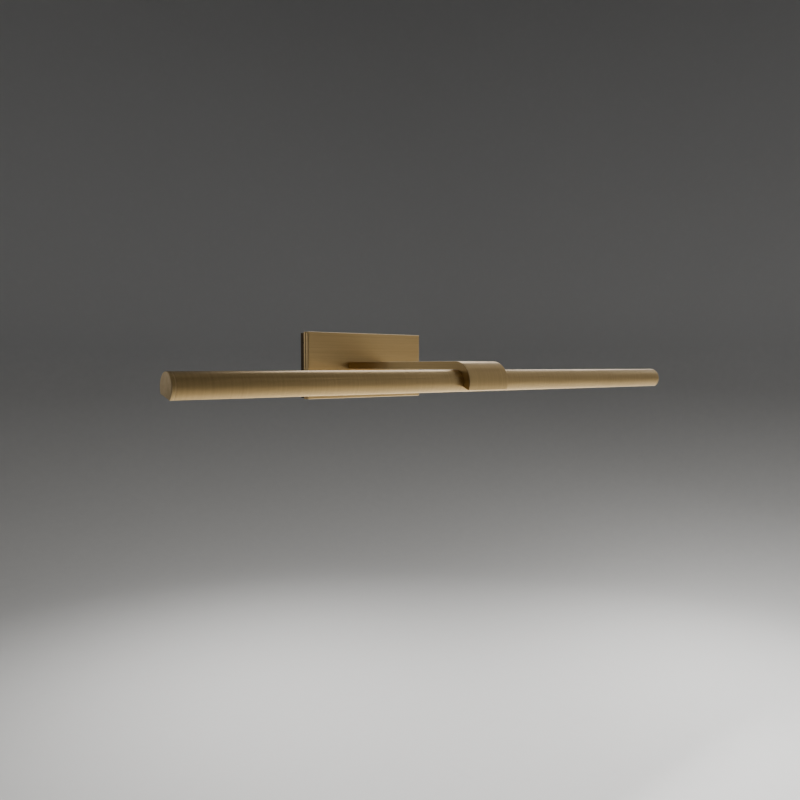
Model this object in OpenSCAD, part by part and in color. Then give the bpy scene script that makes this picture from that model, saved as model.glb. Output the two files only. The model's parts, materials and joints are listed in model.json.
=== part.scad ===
// Wall-mounted picture light: a slim LED tube that tilts under a flat hooked arm.
// Frame: the origin is the centre of the canopy's wall side, +Y goes into the wall,
// +X runs along the lamp tube and +Z is up.
// Angles round the tube (phi) start at the room side and grow upwards, so 90 is the top.

/* [Lamp head] */
// Length of the lamp head over both end caps
lamp_len = 686; // [560:1:900]
// Outside diameter of the lamp tube
tube_d = 25.4; // [25.4:0.1:26]
// Wall thickness of the lamp tube
tube_wall = 1.5; // [1.4:0.1:1.6]
// Distance from the wall to the tube's axis
tube_reach = 217; // [190:1:260]
// Direction in which the light window faces
window_phi = -104; // [-110:1:-98]
// Thickness of an end cap outside the tube
cap_t = 3.6; // [3:0.2:5]
// Number of LED chips along the board, always even
led_count = 44; // [20:2:60]

/* [Arm] */
// Width of the flat arm
arm_w = 58; // [50:1:70]
// Thickness of the flat arm
arm_t = 8.8; // [8.6:0.1:9.6]
// Angle at which the hooked end stops, below the room side of the tube
arm_tip_phi = -24.5; // [-28:0.5:-16]
// Gap between the tube and the hooked end
tube_gap = 0.3; // [0.3:0.05:0.4]

/* [Tilt] */
// Angle of the pivot stud round the tube
stud_phi = 58; // [56:1:60]
// Outside radius of the hollow pivot stud
stud_r = 3; // [2.9:0.05:3.1]
// Largest tilt of the light away from the wall
tilt_out = 20; // [10:1:20]
// Largest tilt of the light towards the wall
tilt_in = 40; // [20:1:40]

/* [Canopy] */
// Width of the canopy
canopy_w = 179; // [176:1:190]
// Height of the canopy
canopy_h = 83; // [80:1:90]
// Depth of the canopy from the wall
canopy_d = 18.5; // [18:0.5:20]
// Depth of the folded edge of the face plate
face_edge = 4.6; // [4:0.2:5]
// Width of the trim band round the canopy
band_w = 3.5; // [3:0.5:4]
// How far the canopy body sits inside the face plate's outline
body_inset = 1.2; // [1.2:0.1:1.4]

/* [Wall fixing] */
// Distance between the centres of the two fixing slots
slot_spacing = 79.4; // [76:0.1:82]
// Length of a fixing slot, end to end
slot_len = 14; // [10:1:14]
// Width of a fixing slot
slot_w = 4.4; // [4:0.1:5]
// Radius of the hole through the wire bushing
wire_entry_r = 9.5; // [8:0.5:10]

/* [Hidden] */
$fn = 96;
eps = 0.01;
cut = 1;
far = 90;
slip = 0.05;

// Sheet thicknesses inside the canopy
sheet = 1.5;
face_t = 1.2;
backing_t = 2;

// The lamp tube and the arm that hooks round it
tube_r = tube_d / 2;
bore_r = tube_r - tube_wall;
arm_in_r = tube_r + tube_gap;
arm_out_r = arm_in_r + arm_t;
axis_y = -tube_reach;
axis_z = -(arm_in_r + arm_t / 2);
arm_len = tube_reach - canopy_d;

// Wire channel under the arm, and the recess for its cover
cover_w = 30;
cover_t = 2.4;
cover_tip_phi = 36;
channel_w = 14;
channel_h = 3.2;
channel_tip_phi = 40;
cover_r = arm_in_r + cover_t;
channel_r = cover_r + channel_h;
cover_gap = 0.1;
cover_screw_x = 11;
cover_screw_y = [30, 95, 160];
cover_screw_r = 1.4;
cover_head_r = 2.7;
cover_head_t = 1.4;
cover_screw_len = 5.4;
cover_screw_play = 0.3;
cover_socket_r = 1;
cover_socket_depth = 0.9;

// Screws that hold the arm against the canopy
arm_screw_x = 20;
arm_screw_r = 1.95;
arm_screw_depth = 12;
arm_head_r = 3.6;
arm_head_t = 2.5;
screw_play = 0.15;

// Depths inside the canopy, measured from the wall towards the room
body_front = canopy_d - face_t;
body_back_of_front = body_front - sheet;
backing_top = body_back_of_front - backing_t;
backing_w = 54;
backing_h = 26;
body_w = canopy_w - 2 * body_inset;
body_h = canopy_h - 2 * body_inset;
corner_relief_r = 1.6;
shadow_gap = 1.7;
band_back = canopy_d - face_edge - shadow_gap - band_w;

// Mounting plate on the wall
plate_play = [0.5, 1];
plate_w = body_w - 2 * sheet - 2 * plate_play[0];
plate_h = body_h - 2 * sheet - 2 * plate_play[1];
flange_d = 11;
flange_h = 68;
bushing_r = wire_entry_r + 2.5;
bushing_flange_r = wire_entry_r + 5;
set_screw_z = 28.6;
set_screw_y = 5.5;
set_screw_r = 1.45;
set_screw_len = 4.2;
set_screw_sink = 0.5;
set_socket_r = 0.85;
set_socket_depth = 1;

// Driver, terminal block and earth screw in the canopy
driver_size = [48, 10.4, 54];
driver_x = 58;
driver_left = driver_x - driver_size[0] / 2;
driver_ear = 8;
driver_ear_w = 12;
driver_ear_t = 1.6;
driver_screw_z = (driver_size[2] + driver_ear) / 2;
block_size = [30, 9, 14];
block_x = -54;
block_poles = 3;
block_pitch = 9;
block_ear = 6;
block_ear_t = 2;
block_screw_x = (block_size[0] + block_ear) / 2;
wire_screw_r = 2;
wire_screw_depth = 2.5;
small_screw_r = 1.4;
small_head_r = 2.6;
small_head_t = 1.6;
head_socket = [0.45, 0.5];
earth_at = [-54, -26];
earth_head_r = 4;
earth_head_t = 2.2;

// Leads: sizes, corner rounding and where they run
supply_lead_r = 1;
lamp_lead_r = 0.75;
lead_sides = 8;
lead_corner = 2.5;
lead_corner_steps = 4;
lead_depth = 11.4;
lead_x = 0.85;
supply_rise = [23, 19];
lamp_lead_drop = [-11, -8];
lamp_lead_corner = 1.3;
lead_end_r = 2.6;
lead_turn_step = 4;
tail_y = 1.3;
tail_len = 14.95;
channel_z = axis_z + cover_r + channel_h / 2;
lead_r = channel_r - lamp_lead_r - 0.3;
lead_z = axis_z + lead_r;

// Section through the light window, measured from the tube's axis along the window's direction
flat_s = 8.5;
lip_s = 7.1;
window_w = 14.8;
ledge_s = [4.9, 5.8];
ledge_u = 7.9;
glass_flange_s = [5.9, 7];
glass_flange_w = 16.8;
glass_face_s = 8.3;
glass_w = 14.6;
carrier_s = [1.6, 3.4, 4.8];
carrier_w = 19.8;
carrier_rail = 2.2;
board_t = 1;
board_w = 12;
chip_size = [3, 2.8, 0.6];
spigot_len = 5;
spigot_s = 4.7;
cap_chamfer = 0.5;
end_gap = 0.2;
carrier_len = lamp_len - 2 * (cap_t + spigot_len + end_gap);
board_end = 6;
board_len = carrier_len - 2 * board_end;
chip_pitch = board_len / led_count;
board_screw_count = 5;
board_screw_gap = 2 * round(led_count / 10) * chip_pitch;
board_screw_r = 0.9;
board_screw_len = 2.4;
board_head_r = 1.7;
board_head_t = 0.9;

// Pivot inside the tube, heights measured from the tube's axis along the stud
stud_bore_r = 1.9;
stud_flange_r = 4.5;
stud_flange_t = 0.6;
stud_end = 3.8;
saddle_flat = 7.2;
saddle_r = 10.6;
saddle_len = 20;
pad_clear = 0.08;
pad_phi = 38;
pad_x = [4.2, 9.8];
washer_t = 0.5;
washer_r = 5.4;
nut_r = 5.5;
nut_t = 2.4;
slot_clear = 0.4;
slot_half_phi = asin(stud_r / bore_r) + 2;
connector_x = [28, 40];
connector_w = 8;
connector_s = -1.6;

brass = [0.62, 0.49, 0.30];
dark_brass = [0.28, 0.22, 0.14];
steel = [0.72, 0.73, 0.75];
zinc = [0.60, 0.61, 0.63];
aluminium = [0.80, 0.81, 0.82];
green_paint = [0.20, 0.50, 0.25];
black = [0.12, 0.12, 0.12];
red = [0.60, 0.10, 0.08];
white = [0.92, 0.92, 0.90];
nylon = [0.85, 0.84, 0.80];
opal = [0.96, 0.94, 0.88];
phosphor = [0.95, 0.85, 0.45];

// Unit vector round the tube, and the shapes of the tube's section plane

function dir(phi) = [-cos(phi), sin(phi)];

module wedge(from, to) {
    polygon([[0, 0], far * dir(from), far * dir((from + to) / 2), far * dir(to)]);
}

module ring_sector(r_in, r_out, from, to) {
    intersection() {
        difference() {
            circle(r_out);
            circle(r_in);
        }
        wedge(from, to);
    }
}

// Straight strip along the arm that hooks round the tube down to tip_phi
module hook(r_in, r_out, tip_phi, length) {
    translate([0, r_in]) square([length, r_out - r_in]);
    ring_sector(r_in, r_out, tip_phi, 90);
}

// Extrudes a section of the tube's plane along X, centred on the arm
module along_tube(length) {
    translate([-length / 2, axis_y, axis_z])
        rotate([90, 0, 90])
        linear_extrude(length)
        children();
}

// Puts +X of a section along the window's direction
module facing_window() {
    rotate(180 - window_phi) children();
}

// Puts +Z along the radius at angle phi, starting from the tube's axis
module on_radius(phi) {
    translate([0, axis_y, axis_z])
        rotate([90 - phi, 0, 0])
        children();
}

// Puts +Z towards the room, starting at a depth from the wall
module from_wall(x, depth, z) {
    translate([x, -depth, z])
        rotate([90, 0, 0])
        children();
}

// Box centred in X and Z, between two depths from the wall
module slab(w, h, back, front) {
    translate([-w / 2, -front, -h / 2]) cube([w, front - back, h]);
}

// Screw with its head towards the wall, seated at a depth from the wall
module pan_screw(shank_r, length, head_r, head_t) {
    cylinder(r = shank_r, h = length);
    translate([0, 0, -head_t]) {
        difference() {
            cylinder(r = head_r, h = head_t);
            translate([0, 0, -cut])
                cylinder(r = head_r * head_socket[0], h = cut + head_t * head_socket[1], $fn = 6);
        }
    }
}

// Rounded route and the swept tube of a lead

function unit(v) = v / norm(v);

function bend(a, b, c, size) = [
    for (i = [0 : lead_corner_steps])
        let (t = i / lead_corner_steps, p = b + size * unit(a - b), q = b + size * unit(c - b))
        (1 - t) * (1 - t) * p + 2 * t * (1 - t) * b + t * t * q
];

function route(points, size) = [
    points[0],
    for (i = [1 : len(points) - 2]) each bend(points[i - 1], points[i], points[i + 1], size),
    points[len(points) - 1]
];

function heading(points, i) = unit(points[min(i + 1, len(points) - 1)] - points[max(i - 1, 0)]);

function square_to(v, h) = unit(v - (v * h) * h);

function normals(points, start) = [
    for (i = 0, n = square_to(start, heading(points, 0)); i < len(points);
         i = i + 1, n = square_to(n, heading(points, min(i, len(points) - 1)))) n
];

module lead(points, r, start) {
    side = normals(points, start);
    rings = len(points);
    ring_points = [
        for (i = [0 : rings - 1])
            for (k = [0 : lead_sides - 1])
                let (a = 360 * k / lead_sides, up = cross(heading(points, i), side[i]))
                points[i] + r * (cos(a) * side[i] + sin(a) * up)
    ];
    walls = [
        for (i = [0 : rings - 2])
            for (k = [0 : lead_sides - 1])
                let (m = (k + 1) % lead_sides, a = i * lead_sides, b = a + lead_sides)
                each [[a + k, b + k, b + m], [a + k, b + m, a + m]]
    ];
    start_cap = [[for (k = [0 : lead_sides - 1]) k]];
    end_cap = [[for (k = [lead_sides - 1 : -1 : 0]) (rings - 1) * lead_sides + k]];
    polyhedron(ring_points, concat(start_cap, walls, end_cap));
}

// Canopy and wall fixing

module mounting_plate() {
    color(zinc) {
        difference() {
            union() {
                slab(plate_w, plate_h, 0, sheet);
                for (side = [-1, 1]) {
                    translate([side * (plate_w - sheet) / 2, 0, 0]) slab(sheet, flange_h, 0, flange_d);
                }
            }
            from_wall(0, -cut, 0) cylinder(r = bushing_r, h = sheet + 2 * cut);
            for (side = [-1, 1]) {
                from_wall(side * slot_spacing / 2, -cut, 0) fixing_slot(sheet + 2 * cut);
                for (z = [-set_screw_z, set_screw_z]) {
                    translate([side * plate_w / 2, -set_screw_y, z])
                        rotate([0, 90, 0])
                        cylinder(r = set_screw_r + slip, h = 4 * sheet, center = true);
                }
            }
        }
    }
}

module fixing_slot(depth) {
    shift = (slot_len - slot_w) / 2;
    for (side = [-1, 1]) {
        translate([side * shift, 0, 0]) cylinder(d = slot_w, h = depth);
    }
    translate([-shift, -slot_w / 2, 0]) cube([2 * shift, slot_w, depth]);
}

module wire_bushing() {
    color(black)
        difference() {
            union() {
                from_wall(0, 0, 0) cylinder(r = bushing_r - slip, h = sheet);
                from_wall(0, sheet, 0) cylinder(r = bushing_flange_r, h = sheet);
            }
            from_wall(0, -cut, 0) cylinder(r = wire_entry_r, h = 2 * sheet + 2 * cut);
        }
}

module wire_slot() {
    translate([0, 0, channel_z])
        slab(channel_w, channel_h, backing_top - cut, canopy_d + cut);
}

module arm_screw_holes() {
    for (side = [-1, 1]) {
        from_wall(side * arm_screw_x, 0, 0)
            cylinder(r = arm_screw_r + screw_play, h = canopy_d + arm_screw_depth + cut);
    }
}

module canopy_body() {
    color(dark_brass)
        difference() {
            slab(body_w, body_h, 0, body_front);
            slab(body_w - 2 * sheet, body_h - 2 * sheet, -cut, body_back_of_front);
            wire_slot();
            arm_screw_holes();
            for (side = [-1, 1]) {
                for (z = [-set_screw_z, set_screw_z]) {
                    translate([side * body_w / 2, -set_screw_y, z])
                        rotate([0, 90, 0])
                        cylinder(r = set_screw_r + screw_play, h = 3 * sheet, center = true);
                }
                from_wall(driver_x, 0, side * driver_screw_z)
                    cylinder(r = small_screw_r + slip, h = canopy_d);
                from_wall(block_x + side * block_screw_x, 0, 0)
                    cylinder(r = small_screw_r + slip, h = canopy_d);
            }
            from_wall(earth_at[0], 0, earth_at[1]) cylinder(r = arm_screw_r + slip, h = canopy_d);
        }
}

module face_plate() {
    color(brass)
        difference() {
            slab(canopy_w, canopy_h, canopy_d - face_edge, canopy_d);
            slab(canopy_w - 2 * face_t + 2 * slip, canopy_h - 2 * face_t + 2 * slip, 0, canopy_d - face_t);
            wire_slot();
            arm_screw_holes();
            for (x = [-canopy_w / 2, canopy_w / 2]) {
                for (z = [-canopy_h / 2, canopy_h / 2]) {
                    from_wall(x, 0, z) cylinder(r = corner_relief_r, h = canopy_d - face_t);
                }
            }
        }
}

module trim_band() {
    color(brass)
        difference() {
            slab(canopy_w, canopy_h, band_back, band_back + band_w);
            slab(body_w + 2 * slip, body_h + 2 * slip, 0, canopy_d);
        }
}

module canopy_set_screws() {
    color(steel)
        for (side = [0, 180]) {
            for (z = [-set_screw_z, set_screw_z]) {
                rotate([0, 0, side])
                    translate([body_w / 2 - set_screw_sink, cos(side) * -set_screw_y, z])
                    rotate([0, -90, 0])
                    difference() {
                        cylinder(r = set_screw_r, h = set_screw_len);
                        translate([0, 0, -cut])
                            cylinder(r = set_socket_r, h = cut + set_socket_depth, $fn = 6);
                    }
            }
        }
}

module arm_backing_plate() {
    color(zinc)
        difference() {
            slab(backing_w, backing_h, backing_top, body_back_of_front);
            wire_slot();
            arm_screw_holes();
        }
}

module arm_screws() {
    length = canopy_d - backing_top + arm_screw_depth;
    color(steel)
        for (side = [-1, 1]) {
            from_wall(side * arm_screw_x, backing_top, 0)
                pan_screw(arm_screw_r, length, arm_head_r, arm_head_t);
        }
}

module led_driver() {
    back = body_back_of_front - driver_size[1];
    color(white)
        translate([driver_x, 0, 0])
        difference() {
            union() {
                slab(driver_size[0], driver_size[2], back, body_back_of_front);
                slab(
                    driver_ear_w,
                    driver_size[2] + 2 * driver_ear,
                    body_back_of_front - driver_ear_t,
                    body_back_of_front
                );
            }
            for (side = [-1, 1]) {
                from_wall(0, 0, side * driver_screw_z)
                    cylinder(r = small_screw_r + screw_play, h = canopy_d);
            }
        }
}

module driver_screws() {
    color(steel)
        for (side = [-1, 1]) {
            from_wall(driver_x, body_back_of_front - driver_ear_t, side * driver_screw_z)
                pan_screw(small_screw_r, driver_ear_t + sheet - slip, small_head_r, small_head_t);
        }
}

module terminal_block() {
    back = body_back_of_front - block_size[1];
    color(white)
        translate([block_x, 0, 0])
        difference() {
            union() {
                slab(block_size[0], block_size[2], back, body_back_of_front);
                slab(
                    block_size[0] + 2 * block_ear,
                    block_ear,
                    body_back_of_front - block_ear_t,
                    body_back_of_front
                );
            }
            for (i = [0 : block_poles - 1]) {
                x = (i - (block_poles - 1) / 2) * block_pitch;
                for (end = [-1, 1]) {
                    translate([x, -lead_depth, end * block_size[2] / 2])
                        cylinder(r = supply_lead_r + screw_play, h = block_size[2] / 2, center = true);
                }
                from_wall(x, back - cut, 0) cylinder(r = wire_screw_r, h = cut + wire_screw_depth);
            }
            for (side = [-1, 1]) {
                from_wall(side * block_screw_x, 0, 0)
                    cylinder(r = small_screw_r + screw_play, h = canopy_d);
            }
        }
}

module terminal_screws() {
    color(steel)
        for (side = [-1, 1]) {
            from_wall(block_x + side * block_screw_x, body_back_of_front - block_ear_t, 0)
                pan_screw(small_screw_r, block_ear_t + sheet - slip, small_head_r, small_head_t);
        }
}

module ground_screw() {
    color(green_paint)
        from_wall(earth_at[0], body_back_of_front, earth_at[1])
        pan_screw(arm_screw_r, sheet - slip, earth_head_r, earth_head_t);
}

// Mains leads from the terminal block to the driver
module supply_leads() {
    colours = [black, white];
    for (i = [0, 1]) {
        x = block_x + (i - (block_poles - 1) / 2) * block_pitch;
        points = [
            [x, -lead_depth, block_size[2] / 4 + cut],
            [x, -lead_depth, supply_rise[i]],
            [driver_left, -lead_depth, supply_rise[i]]
        ];
        color(colours[i]) lead(route(points, lead_corner), supply_lead_r, [0, 1, 0]);
    }
}

// Low-voltage leads from the driver along the arm's channel and through the hollow stud
module lamp_leads() {
    colours = [black, red];
    turn = [for (phi = [90 - lead_turn_step / 2 : -lead_turn_step : stud_phi + 6]) lead_r * dir(phi)];
    over_stud = lead_r * dir(stud_phi);
    in_stud = lead_end_r * dir(stud_phi);
    for (i = [0, 1]) {
        x = (2 * i - 1) * lead_x;
        in_canopy = [
            [driver_left, -lead_depth, lamp_lead_drop[i]],
            [x, -lead_depth, lamp_lead_drop[i]],
            [x, -lead_depth, lead_z],
            [x, axis_y, lead_z]
        ];
        round_tube = [for (p = turn) [x, axis_y + p[0], axis_z + p[1]]];
        end = [x, axis_y + in_stud[0], axis_z + in_stud[1]];
        into_stud = bend(
            round_tube[len(round_tube) - 1],
            [x, axis_y + over_stud[0], axis_z + over_stud[1]],
            end,
            lamp_lead_corner
        );
        points = concat(route(in_canopy, lead_corner), round_tube, into_stud, [end]);
        color(colours[i]) lead(points, lamp_lead_r, [0, 1, 0]);
    }
}

// Arm and its wire channel

module cover_screw_places() {
    for (y = cover_screw_y) {
        for (x = [-cover_screw_x, cover_screw_x]) {
            translate([x, -canopy_d - y, -arm_t / 2]) children();
        }
    }
}

module arm() {
    color(brass)
        difference() {
            along_tube(arm_w) hook(arm_in_r, arm_out_r, arm_tip_phi, arm_len);
            along_tube(cover_w) hook(arm_in_r - cut, cover_r, cover_tip_phi, arm_len + cut);
            along_tube(channel_w) hook(cover_r - cut, channel_r, channel_tip_phi, arm_len + cut);
            for (side = [-1, 1]) {
                from_wall(side * arm_screw_x, canopy_d - cut, 0)
                    cylinder(r = arm_screw_r + slip, h = arm_screw_depth + 2 * cut);
            }
            cover_screw_places()
                cylinder(r = cover_screw_r + slip, h = cover_screw_len + cover_screw_play);
        }
}

module arm_cover() {
    color(brass)
        difference() {
            along_tube(cover_w - 2 * cover_gap)
                hook(arm_in_r, cover_r, cover_tip_phi + 0.5, arm_len - cover_gap);
            cover_screw_places() {
                translate([0, 0, -cut]) cylinder(r = cover_screw_r + screw_play, h = cover_t + 2 * cut);
                translate([0, 0, -eps])
                    cylinder(r1 = cover_head_r + slip, r2 = cover_screw_r + slip, h = cover_head_t + slip);
            }
            on_radius(stud_phi) cylinder(r = stud_r + slip, h = channel_r);
        }
}

module arm_cover_screws() {
    color(steel)
        cover_screw_places()
        difference() {
            union() {
                cylinder(r = cover_screw_r, h = cover_screw_len);
                cylinder(r1 = cover_head_r, r2 = cover_screw_r, h = cover_head_t);
            }
            translate([0, 0, -cut]) cylinder(r = cover_socket_r, h = cut + cover_socket_depth, $fn = 6);
        }
}

// Tilt pivot

module pivot_stud() {
    color(zinc)
        on_radius(stud_phi)
        difference() {
            union() {
                translate([0, 0, stud_end]) cylinder(r = stud_r, h = cover_r - stud_end + eps);
                translate([0, 0, cover_r + eps]) cylinder(r = stud_flange_r, h = stud_flange_t);
            }
            cylinder(r = stud_bore_r, h = channel_r);
        }
}

module pivot_saddle() {
    color(zinc)
        difference() {
            intersection() {
                along_tube(saddle_len) circle(saddle_r);
                on_radius(stud_phi)
                    translate([-saddle_len, -far, saddle_flat])
                    cube([2 * saddle_len, 2 * far, far]);
            }
            on_radius(stud_phi) cylinder(r = stud_r + slip, h = channel_r);
        }
}

module friction_pads() {
    pad_len = pad_x[1] - pad_x[0];
    color(nylon)
        for (side = [-1, 1]) {
            translate([side * (pad_x[0] + pad_x[1]) / 2, 0, 0])
                along_tube(pad_len)
                ring_sector(saddle_r + eps, bore_r - pad_clear, stud_phi - pad_phi, stud_phi + pad_phi);
        }
}

module spring_washer() {
    color(steel)
        on_radius(stud_phi)
        translate([0, 0, saddle_flat - washer_t - eps])
        difference() {
            cylinder(r = washer_r, h = washer_t);
            translate([0, 0, -cut]) cylinder(r = stud_r + screw_play, h = washer_t + 2 * cut);
        }
}

module pivot_nut() {
    color(steel)
        on_radius(stud_phi)
        translate([0, 0, saddle_flat - washer_t - nut_t - 2 * eps])
        difference() {
            cylinder(r = nut_r, h = nut_t, $fn = 6);
            translate([0, 0, -cut]) cylinder(r = stud_r + slip, h = nut_t + 2 * cut);
        }
}

// Lamp head

// Round outline of the tube with the flat on the window's side
module tube_outline() {
    difference() {
        circle(tube_r);
        translate([flat_s, -tube_r]) square(2 * tube_r);
    }
}

module tube_hollow() {
    difference() {
        circle(bore_r);
        translate([lip_s, -tube_r]) square(2 * tube_r);
        for (side = [-1, 1]) {
            translate([ledge_s[0], side > 0 ? ledge_u : -ledge_u - tube_r])
                square([ledge_s[1] - ledge_s[0], tube_r]);
        }
    }
}

module lamp_tube() {
    color(brass)
        difference() {
            along_tube(lamp_len - 2 * cap_t)
                facing_window()
                difference() {
                    tube_outline();
                    tube_hollow();
                    translate([lip_s - cut, -window_w / 2]) square([tube_r, window_w]);
                }
            along_tube(2 * (stud_r + slot_clear))
                ring_sector(
                    bore_r - tube_wall,
                    tube_r + cut,
                    stud_phi - tilt_out - slot_half_phi,
                    stud_phi + tilt_in + slot_half_phi
                );
        }
}

module end_cap() {
    translate([0, axis_y, axis_z])
        rotate([90, 0, 90])
        facing_window() {
            difference() {
                union() {
                    translate([0, 0, lamp_len / 2 - cap_t]) cylinder(r = tube_r, h = cap_t - cap_chamfer);
                    translate([0, 0, lamp_len / 2 - cap_chamfer])
                        cylinder(r1 = tube_r, r2 = tube_r - cap_chamfer, h = cap_chamfer);
                }
                translate([flat_s, -tube_r, 0]) cube([tube_r, 2 * tube_r, lamp_len]);
                translate([flat_s - cap_chamfer, 0, lamp_len / 2])
                    rotate([0, -45, 0])
                    translate([0, -tube_r, -tube_r])
                    cube([tube_r, 2 * tube_r, 2 * tube_r]);
            }
            translate([0, 0, lamp_len / 2 - cap_t - spigot_len])
                linear_extrude(spigot_len)
                intersection() {
                    circle(bore_r - slip);
                    translate([spigot_s - 2 * tube_r, -tube_r]) square(2 * tube_r);
                }
        }
}

module end_cap_left() {
    color(brass) mirror([1, 0, 0]) end_cap();
}

module end_cap_right() {
    color(brass) end_cap();
}

module diffuser() {
    color(opal)
        along_tube(lamp_len - 2 * cap_t - 2 * end_gap)
        facing_window() {
            translate([glass_flange_s[0], -glass_flange_w / 2])
                square([glass_flange_s[1] - glass_flange_s[0], glass_flange_w]);
            translate([glass_flange_s[0], -glass_w / 2])
                square([glass_face_s - glass_flange_s[0], glass_w]);
        }
}

module led_carrier() {
    color(aluminium)
        difference() {
            along_tube(carrier_len)
                facing_window()
                difference() {
                    translate([carrier_s[0], -carrier_w / 2])
                        square([carrier_s[2] - carrier_s[0], carrier_w]);
                    translate([carrier_s[1], -carrier_w / 2 + carrier_rail])
                        square([carrier_s[2], carrier_w - 2 * carrier_rail]);
                }
            board_screw_places() cylinder(r = board_screw_r + slip, h = 2 * carrier_s[2], center = true);
        }
}

module led_board() {
    color(white)
        difference() {
            along_tube(board_len)
                facing_window()
                translate([carrier_s[1], -board_w / 2])
                square([board_t, board_w]);
            board_screw_places()
                cylinder(r = board_screw_r + screw_play, h = 2 * carrier_s[2], center = true);
        }
}

// Puts +Z along the window's direction at each board screw, level with the board's front
module board_screw_places() {
    for (i = [0 : board_screw_count - 1]) {
        translate([(i - (board_screw_count - 1) / 2) * board_screw_gap, 0, 0])
            on_radius(window_phi)
            translate([0, 0, carrier_s[1] + board_t])
            children();
    }
}

module board_screws() {
    color(steel)
        board_screw_places() {
            translate([0, 0, -board_screw_len]) cylinder(r = board_screw_r, h = board_screw_len);
            cylinder(r = board_head_r, h = board_head_t);
        }
}

module led_chips() {
    color(phosphor)
        for (i = [0 : led_count - 1]) {
            translate([(i - (led_count - 1) / 2) * chip_pitch, 0, 0])
                on_radius(window_phi)
                translate([-chip_size[0] / 2, -chip_size[1] / 2, carrier_s[1] + board_t])
                cube(chip_size);
        }
}

module board_connector() {
    color(white)
        translate([connector_x[0], 0, 0])
        on_radius(window_phi)
        translate([0, -connector_w / 2, connector_s])
        cube([connector_x[1] - connector_x[0], connector_w, carrier_s[0] - connector_s]);
}

// Short tails from the board's connector to the pivot
module head_leads() {
    colours = [black, red];
    start = connector_x[0] - slip;
    for (i = [0, 1]) {
        y = (2 * i - 1) * tail_y;
        points = [for (run = [0, 0.5, 1]) [start - run * tail_len, y, 0]];
        color(colours[i])
            on_radius(window_phi)
            lead(points, lamp_lead_r, [0, 1, 0]);
    }
}

mounting_plate();
wire_bushing();
canopy_body();
face_plate();
trim_band();
canopy_set_screws();
arm_backing_plate();
arm_screws();
led_driver();
driver_screws();
terminal_block();
terminal_screws();
ground_screw();
supply_leads();
lamp_leads();
arm();
arm_cover();
arm_cover_screws();
pivot_stud();
pivot_saddle();
friction_pads();
spring_washer();
pivot_nut();
lamp_tube();
end_cap_left();
end_cap_right();
diffuser();
led_carrier();
led_board();
led_chips();
board_screws();
board_connector();
head_leads();
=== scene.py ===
"""Picture light: the looks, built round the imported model.

Everything is in metres in the model's own frame: +X along the lamp tube, +Y into the wall, +Z up.
Angles round the tube (phi) start at the room side and grow upwards, so 90 is the top.
"""
import json
import math

import bmesh
import bpy
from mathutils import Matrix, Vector


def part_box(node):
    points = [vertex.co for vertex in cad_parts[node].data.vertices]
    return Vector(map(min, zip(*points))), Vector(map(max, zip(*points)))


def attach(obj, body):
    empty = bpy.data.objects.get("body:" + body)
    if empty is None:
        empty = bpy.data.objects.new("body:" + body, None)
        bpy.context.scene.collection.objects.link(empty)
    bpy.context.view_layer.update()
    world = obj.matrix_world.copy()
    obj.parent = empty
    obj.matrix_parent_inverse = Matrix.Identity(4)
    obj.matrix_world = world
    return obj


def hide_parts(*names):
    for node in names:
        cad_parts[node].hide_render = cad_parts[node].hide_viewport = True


MM = 0.001

# Metres: points closer than MERGE are one point, and a point within TOUCH of a plane is on it
MERGE = 1e-6
TOUCH = 1e-5
# How far along an axis a face's normal has to lean to count as facing that way
SIDE_ON = 0.7
WINDOW_ON = 0.97
# Degrees: folds in the CAD flatter than FLAT are joined, edges sharper than SHARP are rounded,
# and edges sharper than CREASE aren't shaded across
FLAT = 1
SHARP = 32
CREASE = 40

# Camera: the reference view, from the left front and level with the canopy
CAMERA_AT = (-0.5545, -0.7740, -0.0006)
CAMERA_YAW = 38.91
CAMERA_PITCH = 2.72
LENS_MM = 32.27
SENSOR_MM = 36
CLIP = (0.01, 50)

# Section of the lamp tube and the hooked arm, in mm from the tube's axis
TUBE_R = 12.7
BORE_R = 11.2
WINDOW_PHI = -104
FLAT_S = 8.5
LIP_S = 7.1
WINDOW_W = 14.8
LEDGE_S = (4.9, 5.8)
LEDGE_U = 7.9
HOOK_IN_R = 13.0
HOOK_OUT_R = 21.8
HOOK_TIP_PHI = -24.5
COVER_R = 15.4
COVER_W = 30
COVER_TIP_PHI = 36
CHANNEL_R = 18.6
CHANNEL_W = 14
CHANNEL_TIP_PHI = 40
STUD_SLOT_W = 6.8
STUD_SLOT_PHI = (20.5, 115.5)
ARC_STEP = 2.0

# Screw holes in the arm, in mm
ARM_SCREW_X = 20
ARM_SCREW_R = 2.0
ARM_SCREW_DEPTH = 12
COVER_SCREW_X = 11
COVER_SCREW_Y = (30, 95, 160)
COVER_SCREW_R = 1.45
COVER_SCREW_DEPTH = 5.7

# Edges: how far each kind of edge is rounded, in mm
FINE_EDGE = 0.12
SHEET_EDGE = 0.2
END_EDGE = 0.35
CAP_EDGE = 0.35
ARM_EDGE = 0.45
BEND_R = 1.4

# Wear, from 0 to 1, on edges that hands seldom touch; a cap's turned face gets the lighter worn
# colour at its own strength as a painted highlight for the light it catches
CAP_FACE_HIGHLIGHT = 0.9
SLIGHT_WEAR = 0.3

# How far a cutting tool reaches past what it cuts, in mm
CUT_PAST = 1
SLOT_PAST = 2
CHANNEL_PAST = 0.2

# Brushed finish: noise per metre along and across the brush lines, then the shader's own numbers
FINE_LINES = (45, 5200, 1)
WIDE_STREAKS = (5, 420, 1)
PATINA_CLOUDS = (9, 9, 9)
WORN_PATCHES = (160, 160, 160)
BRUSH_ANISOTROPY = 0.45
ACROSS_THE_LINES = 0.25
LINE_DEPTH = 0.00002
LINE_BUMP = 0.35
COAT_ROUGHNESS = 0.22
LINE_TONE = 0.8
CLOUD_TONE = 0.2
LINE_ROUGHNESS = 0.03
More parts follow.
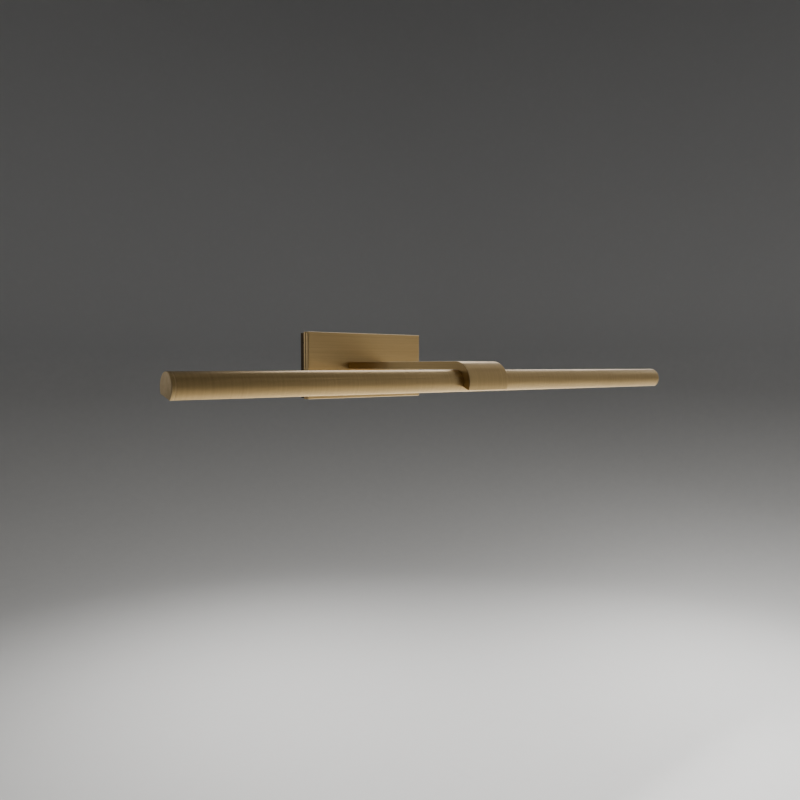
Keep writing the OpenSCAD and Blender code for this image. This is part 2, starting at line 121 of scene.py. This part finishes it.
# The part of a noise's range that a finish uses: soft, and with more contrast
SOFT_NOISE = (0.3, 0.7)
CLEAR_NOISE = (0.35, 0.65)

# Brass: base colours between the brush lines, in them, and on worn edges; the last also paints the
# highlight on the caps' end faces
BRASS_LIGHT = (0.66, 0.465, 0.21)
BRASS_DARK = (0.53, 0.36, 0.152)
BRASS_WORN_AND_HIGHLIGHT = (0.76, 0.57, 0.31)
# Canopy body: brass darkened nearly to black, painted shade for the deep shade its sides lie in by
# the wall
CANOPY_SHADE_LIGHT = (0.070, 0.044, 0.017)
CANOPY_SHADE_DARK = (0.046, 0.029, 0.011)
CANOPY_SHADE_WORN = (0.11, 0.072, 0.032)

PLAIN_CLOUDS = (25, 25, 25)
PLAIN_ROUGHNESS = 0.06
PLAIN_BUMP = 0.4
# Plain finishes: light shade, dark shade, roughness, grains per metre, grain depth, metallic
PLAIN_FINISHES = {
    "zinc_plated_steel": ((0.62, 0.63, 0.65), (0.46, 0.47, 0.50), 0.34, 900, 0.00002, 1.0),
    "screw_steel": ((0.58, 0.58, 0.60), (0.42, 0.42, 0.44), 0.30, 1800, 0.00001, 1.0),
    "black_oxide_screw": ((0.030, 0.028, 0.026), (0.018, 0.017, 0.016), 0.42, 1800, 0.00001, 1.0),
    "brass_screw": (BRASS_LIGHT, BRASS_DARK, 0.30, 1800, 0.00001, 1.0),
    "green_earth_screw": ((0.05, 0.30, 0.09), (0.03, 0.20, 0.06), 0.38, 1500, 0.00001, 0.6),
    "driver_case_plastic": ((0.78, 0.78, 0.75), (0.68, 0.68, 0.65), 0.55, 1500, 0.00003, 0.0),
    "terminal_nylon": ((0.86, 0.85, 0.80), (0.78, 0.77, 0.71), 0.38, 900, 0.00001, 0.0),
    "black_rubber": ((0.030, 0.030, 0.032), (0.016, 0.016, 0.017), 0.62, 1200, 0.00003, 0.0),
    "lead_insulation": ((0.13, 0.025, 0.02), (0.08, 0.015, 0.012), 0.42, 800, 0.00001, 0.0),
    "pad_nylon": ((0.74, 0.72, 0.65), (0.66, 0.64, 0.56), 0.45, 900, 0.00001, 0.0),
    "mill_aluminium": ((0.78, 0.79, 0.80), (0.66, 0.67, 0.69), 0.36, 700, 0.00002, 1.0),
    "white_solder_mask": ((0.88, 0.88, 0.86), (0.80, 0.80, 0.77), 0.40, 1200, 0.00001, 0.0),
    "led_phosphor": ((0.95, 0.78, 0.28), (0.88, 0.66, 0.18), 0.32, 2500, 0.00001, 0.0),
}

# Light strip
CHIP_PITCH = 0.01492
LAMP_GLOW = 5.0
LAMP_WARM_WHITE = (1.0, 0.90, 0.74)
OPAL_LIGHT = (0.94, 0.91, 0.85)
OPAL_DARK = (0.86, 0.83, 0.76)
OPAL_GRAIN = (700, 700, 700)
# One period of the wave texture is 2 pi / 20 of its own length at scale 1
WAVE_PERIOD = 2 * math.pi / 20

# Stage
FLOOR_DROP = 0.85
BOWL_FLAT_R = 2.0
BOWL_CURVE_R = 1.2
BOWL_TOP = 5.0
WALL_GREY_Z = 0.1
FLOOR_PALE = (0.68, 0.67, 0.65)
WALL_GREY = (0.40, 0.40, 0.40)
PAINT_ROUGHNESS = 0.9
PAINT_GRAIN = (30, 30, 30)
PAINT_SHADE = 0.03
WASH_Z = -0.12
ROOM_COLOUR = (0.80, 0.82, 0.85)
ROOM_STRENGTH = 0.02
OBJECT_MIDDLE = (0, -0.15, 0)

# Lights: name, place, side of the square in metres, watts
SOFT_LIGHTS = [
    ("right_top", (1.6, -0.1, 1.6), 1.0, 1.5),
    ("right", (2.4, 0.0, 0.6), 1.0, 5.5),
    ("right_back", (1.7, 1.4, 1.5), 1.2, 2.0),
    ("right_front_high", (1.7, -1.5, 1.5), 1.4, 1.9),
    ("right_front", (1.7, -1.85, 0.2), 1.4, 1.7),
    ("left_back", (-1.2, 2.05, 0.35), 0.8, 1.2),
    ("left", (-2.2, 2.1, 0.45), 0.9, 1.0),
    ("rim", (0.9, 0.25, 0.35), 0.4, 1.0),
    ("plate_top", (0.3, 0.25, 0.35), 0.4, 1.0),
    ("overhead", (0.2, -0.3, 2.2), 1.6, 1.0),
    ("left_front_high", (-1.6, -1.0, 1.8), 1.2, 1.2),
    ("left_back_high", (-1.6, 1.4, 1.8), 1.2, 2.5),
]
# These face straight down on to the floor, below the object
FLOOR_WASHES = [
    ("middle", (0.3, -0.2, WASH_Z), 0.9, 4.6),
    ("right", (1.35, 0.1, WASH_Z), 0.9, 12),
    ("back", (0.3, 0.9, WASH_Z), 0.9, 9),
    ("front", (1.5, -1.2, WASH_Z), 1.0, 8.5),
]
# These stand behind the object, below it, as the lit wall under a picture light does
WALL_PANELS = [
    ("middle", (0.3, 0.03, -0.42), 0.6, 2.6),
    ("right", (0.9, 0.03, -0.42), 0.6, 2.2),
]

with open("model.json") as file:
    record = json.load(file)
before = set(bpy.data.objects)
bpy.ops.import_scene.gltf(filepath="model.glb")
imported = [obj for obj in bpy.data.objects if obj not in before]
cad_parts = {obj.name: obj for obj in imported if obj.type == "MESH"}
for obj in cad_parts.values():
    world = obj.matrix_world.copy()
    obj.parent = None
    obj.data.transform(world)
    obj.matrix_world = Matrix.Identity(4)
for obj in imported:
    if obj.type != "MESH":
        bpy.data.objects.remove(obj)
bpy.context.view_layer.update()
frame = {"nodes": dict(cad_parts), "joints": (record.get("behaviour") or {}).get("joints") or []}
nodes = frame["nodes"]
tilt = frame["joints"][0]
AXIS_Y, AXIS_Z = tilt["pos_m"][1], tilt["pos_m"][2]


# Section geometry

def direction(phi):
    return Vector((-math.cos(math.radians(phi)), math.sin(math.radians(phi))))


WINDOW_OUT = direction(WINDOW_PHI)
WINDOW_ACROSS = direction(WINDOW_PHI + 90)


def arc(radius, start, end):
    """Points round the tube from phi start to phi end, as offsets (y, z) from the axis in mm."""
    steps = max(2, round(abs(end - start) / ARC_STEP))
    return [direction(start + (end - start) * i / steps) * radius for i in range(steps + 1)]


def local(s, u):
    """A point s mm out of the window and u mm across it."""
    return WINDOW_OUT * s + WINDOW_ACROSS * u


def half_angle(s, radius):
    return math.degrees(math.acos(s / radius))


def tube_outline(radius, flat):
    """Round outline with the flat on the window's side."""
    half = half_angle(flat, radius)
    return arc(radius, WINDOW_PHI + half, WINDOW_PHI + 360 - half)


def tube_section():
    """The extrusion's closed section: outside, window edges, lips, ledges and bore."""
    lip = half_angle(LIP_S, BORE_R)
    ledge_top = half_angle(LEDGE_S[1], BORE_R)
    ledge_low = half_angle(LEDGE_S[0], BORE_R)
    half_window = WINDOW_W / 2
    far_side = WINDOW_PHI + 360
    return [
        local(FLAT_S, half_window),
        *tube_outline(TUBE_R, FLAT_S),
        local(FLAT_S, -half_window),
        local(LIP_S, -half_window),
        *arc(BORE_R, far_side - lip, far_side - ledge_top),
        local(LEDGE_S[1], -LEDGE_U),
        local(LEDGE_S[0], -LEDGE_U),
        *arc(BORE_R, far_side - ledge_low, WINDOW_PHI + ledge_low),
        local(LEDGE_S[0], LEDGE_U),
        local(LEDGE_S[1], LEDGE_U),
        *arc(BORE_R, WINDOW_PHI + ledge_top, WINDOW_PHI + lip),
        local(LIP_S, half_window),
    ]


def hook_section(r_in, r_out, tip_phi, wall_y):
    """Flat strip along the arm that hooks round the tube; wall_y is where it starts, in metres."""
    length = (wall_y - AXIS_Y) / MM
    return [
        Vector((length, r_out)),
        *arc(r_out, 90, tip_phi),
        *arc(r_in, tip_phi, 90),
        Vector((length, r_in)),
    ]


def prism(section, x_low, x_high):
    """A bmesh of the section (mm round the tube's axis) run from x_low to x_high (metres)."""
    bm = bmesh.new()
    ends = []
    for x in (x_low, x_high):
        ends.append([bm.verts.new((x, AXIS_Y + p.x * MM, AXIS_Z + p.y * MM)) for p in section])
    count = len(section)
    for i in range(count):
        j = (i + 1) % count
        bm.faces.new((ends[0][i], ends[0][j], ends[1][j], ends[1][i]))
    bm.faces.new(ends[0])
    bm.faces.new(ends[1])
    bmesh.ops.recalc_face_normals(bm, faces=bm.faces)
    return bm


def cad_copy(node):
    """A bmesh of a CAD node with its triangles joined back into flat faces."""
    bm = bmesh.new()
    bm.from_mesh(nodes[node].data)
    bmesh.ops.remove_doubles(bm, verts=bm.verts, dist=MERGE)
    bmesh.ops.dissolve_limit(
        bm, angle_limit=math.radians(FLAT), verts=bm.verts, edges=bm.edges
    )
    return bm


def cut(bm, tool):
    """The first bmesh less the second, by an exact boolean."""
    holder = [make_object(name, part) for name, part in (("whole", bm), ("tool", tool))]
    modifier = holder[0].modifiers.new("cut", "BOOLEAN")
    modifier.operation = "DIFFERENCE"
    modifier.solver = "EXACT"
    modifier.object = holder[1]
    depsgraph = bpy.context.evaluated_depsgraph_get()
    result = bmesh.new()
    result.from_mesh(holder[0].evaluated_get(depsgraph).to_mesh())
    for item in holder:
        mesh = item.data
        bpy.data.objects.remove(item)
        bpy.data.meshes.remove(mesh)
    return result


def make_object(name, bm):
    mesh = bpy.data.meshes.new(name)
    bm.to_mesh(mesh)
    bm.free()
    item = bpy.data.objects.new(name, mesh)
    bpy.context.scene.collection.objects.link(item)
    return item


def sharp_edges(bm):
    limit = math.radians(SHARP)
    return [e for e in bm.edges if len(e.link_faces) == 2 and e.calc_face_angle(0) > limit]


def wear_and_highlight_layer(bm):
    """The layer that says how worn a face is and which faces get a painted highlight: nothing
    until an edge is rounded or a face is marked.
    """
    layer = bm.loops.layers.float_color.get("wear_and_highlight")
    if layer is None:
        layer = bm.loops.layers.float_color.new("wear_and_highlight")
        for face in bm.faces:
            for loop in face.loops:
                loop[layer] = (0, 0, 0, 1)
    return layer


def round_edges(bm, edges, width_mm, segments, wear_and_highlight=1.0):
    """Rounds the edges and writes how worn each new face is, for the finish."""
    layer = wear_and_highlight_layer(bm)
    made = bmesh.ops.bevel(
        bm,
        geom=edges,
        offset=width_mm * MM,
        offset_type="OFFSET",
        segments=segments,
        profile=0.5,
        affect="EDGES",
        clamp_overlap=True,
    )
    for face in made["faces"]:
        for loop in face.loops:
            loop[layer] = (wear_and_highlight, wear_and_highlight, wear_and_highlight, 1)
    bmesh.ops.dissolve_degenerate(bm, dist=MERGE, edges=bm.edges)


# Brushing direction: u runs along the brush lines and v across them, both in metres

def brush_flat(at, normal):
    """Sheet brushed along X, and along Y on the sides that face X."""
    if abs(normal.x) > SIDE_ON:
        return at.y, at.z
    if abs(normal.y) > SIDE_ON:
        return at.x, at.z
    return at.x, at.y


def brush_round(at, normal):
    """Tube brushed round its axis, with end faces brushed upright."""
    y, z = at.y - AXIS_Y, at.z - AXIS_Z
    if abs(normal.x) > SIDE_ON:
        return z, y
    if normal.y * WINDOW_OUT.x + normal.z * WINDOW_OUT.y > WINDOW_ON:
        return y, at.x
    turned = (math.degrees(math.atan2(z, -y)) - WINDOW_PHI) % 360
    return math.radians(turned) * TUBE_R * MM, at.x


def brush_hook(at, normal):
    """Strap brushed along its length, round the hook as well."""
    y, z = at.y - AXIS_Y, at.z - AXIS_Z
    if y > 0:
        run, rise = y, z
    else:
        turned = math.atan2(-y, z)
        run, rise = -turned * HOOK_OUT_R * MM, math.hypot(y, z)
    return (run, rise) if abs(normal.x) > SIDE_ON else (run, at.x)


def finish_piece(name, bm, brush, material, body, stands_for):
    """Turns a bmesh into a piece of the model, with brush directions, finish and body, and hides
    the CAD parts it stands for.
    """
    bmesh.ops.recalc_face_normals(bm, faces=bm.faces)
    wear_and_highlight_layer(bm)
    piece = make_object(name, bm)
    mesh = piece.data
    if "custom_normal" in mesh.attributes:
        mesh.attributes.remove(mesh.attributes["custom_normal"])
    while mesh.uv_layers:
        mesh.uv_layers.remove(mesh.uv_layers[0])
    uv = mesh.uv_layers.new(name="brush")
    for polygon in mesh.polygons:
        for i in polygon.loop_indices:
            uv.data[i].uv = brush(mesh.vertices[mesh.loops[i].vertex_index].co, polygon.normal)
    mesh.shade_smooth()
    mesh.set_sharp_from_angle(angle=math.radians(CREASE))
    mesh.materials.clear()
    mesh.materials.append(material)
    weighted = piece.modifiers.new("weighted_normals", "WEIGHTED_NORMAL")
    weighted.keep_sharp = True
    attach(piece, body)
    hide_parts(*stands_for)
    return piece


# Materials

def principled(name, **sockets):
    """A new material's node tree and its shader, with uniform values set on the shader itself."""
    material = bpy.data.materials.new(name)
    material.use_nodes = True
    tree = material.node_tree
    shader = tree.nodes["Principled BSDF"]
    for socket, value in sockets.items():
        shader.inputs[socket.replace("_", " ")].default_value = value
    return material, tree, shader


def rgba(colour):
    return (*colour, 1)


def scaled_noise(tree, coordinates, scale, detail=3.0, roughness=0.6, size=1.0):
    mapping = tree.nodes.new("ShaderNodeMapping")
    mapping.inputs["Scale"].default_value = scale
    tree.links.new(coordinates, mapping.inputs["Vector"])
    noise = tree.nodes.new("ShaderNodeTexNoise")
    noise.inputs["Scale"].default_value = size
    noise.inputs["Detail"].default_value = detail
    noise.inputs["Roughness"].default_value = roughness
    tree.links.new(mapping.outputs["Vector"], noise.inputs["Vector"])
    return noise.outputs["Fac"]


def spread(tree, value, low, high, out_low, out_high):
    ranged = tree.nodes.new("ShaderNodeMapRange")
    ranged.inputs["From Min"].default_value = low
    ranged.inputs["From Max"].default_value = high
    ranged.inputs["To Min"].default_value = out_low
    ranged.inputs["To Max"].default_value = out_high
    tree.links.new(value, ranged.inputs["Value"])
    return ranged.outputs["Result"]


def blend_colours(tree, factor, first, second):
    mix = tree.nodes.new("ShaderNodeMix")
    mix.data_type = "RGBA"
    colours = [socket for socket in mix.inputs if socket.type == "RGBA"]
    for socket, colour in zip(colours, (first, second)):
        if isinstance(colour, tuple):
            socket.default_value = rgba(colour)
        else:
            tree.links.new(colour, socket)
    tree.links.new(factor, mix.inputs["Factor"])
    return next(socket for socket in mix.outputs if socket.type == "RGBA")


def combine(tree, operation, first, second):
    node = tree.nodes.new("ShaderNodeMath")
    node.operation = operation
    for socket, value in zip(node.inputs, (first, second)):
        if isinstance(value, (int, float)):
            socket.default_value = value
        else:
            tree.links.new(value, socket)
    return node.outputs["Value"]


def average(tree, first, second):
    halves = [combine(tree, "MULTIPLY", value, 0.5) for value in (first, second)]
    return combine(tree, "ADD", *halves)


def brushed_metal(name, light, dark, worn_and_highlight_colour, roughness, coat):
    """Aged metal with fine brush lines along u, cloudy patina and brighter worn edges, whose
    colour also paints a highlight on faces marked for one.
    """
    material, tree, shader = principled(
        name, Metallic=1.0, Anisotropic=BRUSH_ANISOTROPY, Anisotropic_Rotation=ACROSS_THE_LINES,
        Coat_Weight=coat, Coat_Roughness=COAT_ROUGHNESS, Coat_IOR=1.5
    )
    uv = tree.nodes.new("ShaderNodeUVMap")
    uv.uv_map = "brush"
    place = tree.nodes.new("ShaderNodeTexCoord").outputs["Object"]
    fine = scaled_noise(tree, uv.outputs["UV"], FINE_LINES, detail=2)
    streaks = scaled_noise(tree, uv.outputs["UV"], WIDE_STREAKS, detail=3)
    clouds = scaled_noise(tree, place, PATINA_CLOUDS, detail=1, roughness=0.4)

    lines = average(tree, fine, streaks)
    line_tone = spread(tree, lines, *CLEAR_NOISE, 0.0, LINE_TONE)
    cloud_tone = spread(tree, clouds, *SOFT_NOISE, 0.0, CLOUD_TONE)
    tone = combine(tree, "ADD", line_tone, cloud_tone)
    base = blend_colours(tree, tone, light, dark)
    # The layer picks the lighter colour, in patches: wear on edges, and a painted highlight on the
    # caps' end faces
    wear_and_highlight = tree.nodes.new("ShaderNodeAttribute")
    wear_and_highlight.attribute_name = "wear_and_highlight"
    patches = scaled_noise(tree, place, WORN_PATCHES, detail=4)
    patchy = spread(tree, patches, 0.3, 0.6, 0.35, 1.0)
    wear_and_highlight_amount = combine(tree, "MULTIPLY", wear_and_highlight.outputs["Fac"], patchy)
    coloured = blend_colours(tree, wear_and_highlight_amount, base, worn_and_highlight_colour)
    tree.links.new(coloured, shader.inputs["Base Color"])

    rough_ends = roughness - LINE_ROUGHNESS, roughness + LINE_ROUGHNESS
    rough_lines = spread(tree, lines, *SOFT_NOISE, *rough_ends)
    rough_clouds = spread(tree, clouds, *SOFT_NOISE, -0.01, 0.02)
    rough = combine(tree, "ADD", rough_lines, rough_clouds)
    tree.links.new(rough, shader.inputs["Roughness"])

    bump = tree.nodes.new("ShaderNodeBump")
    bump.inputs["Strength"].default_value = LINE_BUMP
    bump.inputs["Distance"].default_value = LINE_DEPTH
    tree.links.new(lines, bump.inputs["Height"])
    tree.links.new(bump.outputs["Normal"], shader.inputs["Normal"])
    tangent = tree.nodes.new("ShaderNodeTangent")
    tangent.direction_type = "UV_MAP"
    tangent.uv_map = "brush"
    tree.links.new(tangent.outputs["Tangent"], shader.inputs["Tangent"])
    return material


def mottled(name, light, dark, roughness, grain, grain_depth, metallic):
    """A plain moulded, plated or painted finish with fine grain and a slight change of shade."""
    material, tree, shader = principled(name, Metallic=metallic)
    place = tree.nodes.new("ShaderNodeTexCoord").outputs["Object"]
    grains = scaled_noise(tree, place, (grain, grain, grain), detail=4)
    clouds = scaled_noise(tree, place, PLAIN_CLOUDS, detail=3)
    both = average(tree, grains, clouds)
    base = blend_colours(tree, spread(tree, both, *CLEAR_NOISE, 0, 1), light, dark)
    tree.links.new(base, shader.inputs["Base Color"])
    rough_ends = roughness - PLAIN_ROUGHNESS, roughness + PLAIN_ROUGHNESS
    rough = spread(tree, both, *SOFT_NOISE, *rough_ends)
    tree.links.new(rough, shader.inputs["Roughness"])
    bump = tree.nodes.new("ShaderNodeBump")
    bump.inputs["Strength"].default_value = PLAIN_BUMP
    bump.inputs["Distance"].default_value = grain_depth
    tree.links.new(grains, bump.inputs["Height"])
    tree.links.new(bump.outputs["Normal"], shader.inputs["Normal"])
    return material


def lit_acrylic():
    """Opal strip lit from behind, with a faint ripple over the chips."""
    material, tree, shader = principled(
        "opal_acrylic", Roughness=0.35, Emission_Color=rgba(LAMP_WARM_WHITE),
        Subsurface_Weight=0.3, Subsurface_Radius=(0.004, 0.004, 0.003)
    )
    place = tree.nodes.new("ShaderNodeTexCoord").outputs["Object"]
    grain = scaled_noise(tree, place, OPAL_GRAIN, detail=2)
    base = blend_colours(tree, grain, OPAL_LIGHT, OPAL_DARK)
    tree.links.new(base, shader.inputs["Base Color"])
    wave = tree.nodes.new("ShaderNodeTexWave")
    wave.wave_type = "BANDS"
    wave.bands_direction = "X"
    wave.inputs["Scale"].default_value = WAVE_PERIOD / CHIP_PITCH
    tree.links.new(place, wave.inputs["Vector"])
    ripple = spread(tree, wave.outputs["Fac"], 0, 1, 0.93, 1.0)
    glow = combine(tree, "MULTIPLY", ripple, LAMP_GLOW)
    grainy = spread(tree, grain, *SOFT_NOISE, 0.96, 1.04)
    strength = combine(tree, "MULTIPLY", glow, grainy)
    tree.links.new(strength, shader.inputs["Emission Strength"])
    return material


brass = brushed_metal("aged_brushed_brass", BRASS_LIGHT, BRASS_DARK, BRASS_WORN_AND_HIGHLIGHT, 0.37, 0.15)
# Painted shade: the canopy body's brass is nearly black, standing for the shade by the wall
painted_shade_brass = brushed_metal("brass_painted_shade", CANOPY_SHADE_LIGHT, CANOPY_SHADE_DARK, CANOPY_SHADE_WORN, 0.45, 0.0)
plain = {name: mottled(name, *look) for name, look in PLAIN_FINISHES.items()}
opal = lit_acrylic()


# Pieces that replace the plain CAD solids

def is_end_rim(edge, low_x, high_x):
    """True for an edge round the outside of the tube's end."""
    outside = (TUBE_R + BORE_R) / 2 * MM
    for vert in edge.verts:
        from_end = min(abs(vert.co.x - low_x), abs(vert.co.x - high_x))
        from_axis = math.hypot(vert.co.y - AXIS_Y, vert.co.z - AXIS_Z)
        if from_end > TOUCH or from_axis < outside:
            return False
    return True


def tube_piece():
    low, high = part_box("lamp_tube")
    slot_low, slot_high = STUD_SLOT_PHI
    slot = [
        *arc(BORE_R - SLOT_PAST, slot_low, slot_high),
        *arc(TUBE_R + SLOT_PAST, slot_high, slot_low),
    ]
    half = STUD_SLOT_W / 2 * MM
    bm = cut(prism(tube_section(), low.x, high.x), prism(slot, -half, half))
    ends = [edge for edge in sharp_edges(bm) if is_end_rim(edge, low.x, high.x)]
    round_edges(bm, ends, END_EDGE, 2)
    round_edges(bm, sharp_edges(bm), FINE_EDGE, 2)
    finish_piece(
        "lamp_tube_brushed", bm, brush_round, brass, "lamp_head", ["lamp_tube"]
    )


def cap_piece(node):
    """End cap: rounded outer rim, fine inner edge, the spigot that plugs the tube, and a painted
    highlight on its outer end face.
    """
    low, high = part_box(node)
    outside = low.x if low.x < 0 else high.x
    bm = cad_copy(node)
    # Painted highlight: the outer end face is marked to take the lighter worn colour, for the
    # light it catches
    layer = wear_and_highlight_layer(bm)
    for face in bm.faces:
        if abs(face.calc_center_median().x - outside) < TOUCH:
            for loop in face.loops:
                loop[layer] = (CAP_FACE_HIGHLIGHT, CAP_FACE_HIGHLIGHT, CAP_FACE_HIGHLIGHT, 1)
    round_edges(bm, sharp_edges(bm), CAP_EDGE, 2)
    finish_piece(node + "_brushed", bm, brush_round, brass, "lamp_head", [node])


def rod(at, along, radius, length):
    """A bmesh cylinder from a point (mm) along an axis, for cutting screw holes."""
    bm = bmesh.new()
    bmesh.ops.create_cone(
        bm, cap_ends=True, segments=24, radius1=radius * MM, radius2=radius * MM, depth=length * MM
    )
    turn = Vector((0, 0, 1)).rotation_difference(along).to_matrix().to_4x4()
    bmesh.ops.transform(bm, matrix=turn, verts=bm.verts)
    bmesh.ops.translate(bm, vec=(at + along * length / 2) * MM, verts=bm.verts)
    return bm


def arm_piece():
    """Hooked strap with its recess for the cover, its wire channel and its screw holes."""
    low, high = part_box("arm")
    half_cover, half_channel = COVER_W / 2 * MM, CHANNEL_W / 2 * MM
    past_root = high.y + CUT_PAST * MM
    root = high.y / MM
    underside = AXIS_Z / MM + HOOK_IN_R
    bm = prism(hook_section(HOOK_IN_R, HOOK_OUT_R, HOOK_TIP_PHI, high.y), low.x, high.x)
    recess = hook_section(HOOK_IN_R - CUT_PAST, COVER_R, COVER_TIP_PHI, past_root)
    bm = cut(bm, prism(recess, -half_cover, half_cover))
    round_edges(bm, sharp_edges(bm), ARM_EDGE, 3)
    channel = hook_section(COVER_R - CHANNEL_PAST, CHANNEL_R, CHANNEL_TIP_PHI, past_root)
    bm = cut(bm, prism(channel, -half_channel, half_channel))
    for side in (-1, 1):
        fixing = Vector((side * ARM_SCREW_X, root + CUT_PAST, 0))
        depth = ARM_SCREW_DEPTH + CUT_PAST
        bm = cut(bm, rod(fixing, Vector((0, -1, 0)), ARM_SCREW_R, depth))
        for y in COVER_SCREW_Y:
            hole = Vector((side * COVER_SCREW_X, root - y, underside))
            bm = cut(bm, rod(hole, Vector((0, 0, 1)), COVER_SCREW_R, COVER_SCREW_DEPTH))
    finish_piece("arm_brushed", bm, brush_hook, brass, "wall_arm", ["arm"])


def face_plate_piece():
    """Folded face plate: a soft bend round the front, fine edges elsewhere."""
    low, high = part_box("face_plate")
    bm = cad_copy("face_plate")

    def on_front_rim(edge):
        for vert in edge.verts:
            from_side = min(vert.co.x - low.x, high.x - vert.co.x)
            from_top_or_bottom = min(vert.co.z - low.z, high.z - vert.co.z)
            if vert.co.y > low.y + TOUCH or min(from_side, from_top_or_bottom) > TOUCH:
                return False
        return True

    rim = [edge for edge in sharp_edges(bm) if on_front_rim(edge)]
    round_edges(bm, rim, BEND_R, 5, wear_and_highlight=SLIGHT_WEAR)
    round_edges(bm, sharp_edges(bm), FINE_EDGE, 2)
    finish_piece(
        "face_plate_brushed", bm, brush_flat, brass, "wall_arm", ["face_plate"]
    )


def refined_piece(node, edge_mm, brush, material, body):
    """A CAD solid with its edges rounded and a real finish."""
    bm = cad_copy(node)
    round_edges(bm, sharp_edges(bm), edge_mm, 2, wear_and_highlight=SLIGHT_WEAR)
    finish_piece(node + "_finished", bm, brush, material, body, [node])


tube_piece()
cap_piece("end_cap_left")
cap_piece("end_cap_right")
arm_piece()
face_plate_piece()
refined_piece("trim_band", FINE_EDGE, brush_flat, brass, "wall_arm")
# The canopy body takes the nearly black brass, which is painted shade
refined_piece("canopy_body", SHEET_EDGE, brush_flat, painted_shade_brass, "wall_arm")
refined_piece("arm_cover", FINE_EDGE, brush_hook, brass, "wall_arm")
for node, edge, finish, slot in [
    ("arm_cover_screws", FINE_EDGE, "brass_screw", "aged_brass"),
    ("canopy_set_screws", FINE_EDGE, "black_oxide_screw", "screw_steel"),
    ("mounting_plate", FINE_EDGE, "zinc_plated_steel", "zinc_steel"),
    ("wire_bushing", SHEET_EDGE, "black_rubber", "bushing_rubber"),
]:
    refined_piece(node, edge, brush_flat, plain[finish], "wall_arm")

FINISHES = {
    "arm_backing_plate": "zinc_plated_steel",
    "pivot_stud": "zinc_plated_steel",
    "pivot_saddle": "zinc_plated_steel",
    "arm_screws": "screw_steel",
    "driver_screws": "screw_steel",
    "terminal_screws": "screw_steel",
    "spring_washer": "screw_steel",
    "pivot_nut": "screw_steel",
    "board_screws": "screw_steel",
    "ground_screw": "green_earth_screw",
    "led_driver": "driver_case_plastic",
    "terminal_block": "terminal_nylon",
    "board_connector": "terminal_nylon",
    "supply_leads": "lead_insulation",
    "lamp_leads": "lead_insulation",
    "head_leads": "lead_insulation",
    "friction_pads": "pad_nylon",
    "led_carrier": "mill_aluminium",
    "led_board": "white_solder_mask",
    "led_chips": "led_phosphor",
}
carried_over = {"diffuser": opal, **{node: plain[name] for node, name in FINISHES.items()}}
for node, material in carried_over.items():
    nodes[node].data.materials.clear()
    nodes[node].data.materials.append(material)


# Stage, lights and camera

def stage_bowl():
    """A pale floor that curves up all round, far enough out to stay behind the camera."""
    floor_z = -FLOOR_DROP
    turn_steps = 12
    profile = [(BOWL_FLAT_R, floor_z)]
    for i in range(1, turn_steps + 1):
        angle = math.pi / 2 * i / turn_steps
        out, up = BOWL_CURVE_R * math.sin(angle), BOWL_CURVE_R * (1 - math.cos(angle))
        profile.append((BOWL_FLAT_R + out, floor_z + up))
    profile.append((BOWL_FLAT_R + BOWL_CURVE_R, BOWL_TOP))
    around = 96
    bm = bmesh.new()
    centre = bm.verts.new((0, 0, floor_z))
    rings = []
    turns = [2 * math.pi * k / around for k in range(around)]
    spokes = [(math.cos(turn), math.sin(turn)) for turn in turns]
    for radius, z in profile:
        rings.append([bm.verts.new((radius * x, radius * y, z)) for x, y in spokes])
    for k in range(around):
        m = (k + 1) % around
        bm.faces.new((centre, rings[0][k], rings[0][m]))
        for inner, outer in zip(rings, rings[1:]):
            bm.faces.new((inner[k], outer[k], outer[m], inner[m]))
    bowl = make_object("studio_floor", bm)
    bowl.data.shade_smooth()
    bowl.data.materials.append(stage_paint())


def stage_paint():
    """Matt paint, pale on the floor and grey on the wall."""
    material, tree, shader = principled("stage_paint", Roughness=PAINT_ROUGHNESS)
    place = tree.nodes.new("ShaderNodeTexCoord").outputs["Object"]
    height = tree.nodes.new("ShaderNodeSeparateXYZ")
    tree.links.new(place, height.inputs["Vector"])
    climb = spread(tree, height.outputs["Z"], -FLOOR_DROP, WALL_GREY_Z, 0, 1)
    noise = scaled_noise(tree, place, PAINT_GRAIN)
    grain = spread(tree, noise, *SOFT_NOISE, -PAINT_SHADE, PAINT_SHADE)
    tone = combine(tree, "ADD", climb, grain)
    tree.links.new(blend_colours(tree, tone, FLOOR_PALE, WALL_GREY), shader.inputs["Base Color"])
    return material


def soft_light(name, at, towards, size, power):
    data = bpy.data.lights.new(name, "AREA")
    data.shape = "SQUARE"
    data.size = size
    data.energy = power
    lamp = bpy.data.objects.new(name, data)
    lamp.location = at
    lamp.rotation_euler = (Vector(towards) - Vector(at)).to_track_quat("-Z", "Y").to_euler()
    bpy.context.scene.collection.objects.link(lamp)


def studio():
    world = bpy.data.worlds.new("soft_room")
    bpy.context.scene.world = world
    world.use_nodes = True
    background = world.node_tree.nodes["Background"]
    background.inputs["Color"].default_value = rgba(ROOM_COLOUR)
    background.inputs["Strength"].default_value = ROOM_STRENGTH
    for name, place, size, power in SOFT_LIGHTS:
        soft_light(name, place, OBJECT_MIDDLE, size, power)
    for name, place, size, power in FLOOR_WASHES:
        soft_light("floor_wash_" + name, place, Vector(place) - Vector((0, 0, 1)), size, power)
    for name, place, size, power in WALL_PANELS:
        soft_light("wall_panel_" + name, place, Vector(place) - Vector((0, 1, 0)), size, power)


def camera():
    data = bpy.data.cameras.new("camera")
    data.lens = LENS_MM
    data.sensor_width = SENSOR_MM
    data.clip_start, data.clip_end = CLIP
    item = bpy.data.objects.new("camera", data)
    item.location = CAMERA_AT
    item.rotation_euler = (math.radians(90 - CAMERA_PITCH), 0, math.radians(-CAMERA_YAW))
    bpy.context.scene.collection.objects.link(item)
    bpy.context.scene.camera = item


stage_bowl()
studio()
camera()
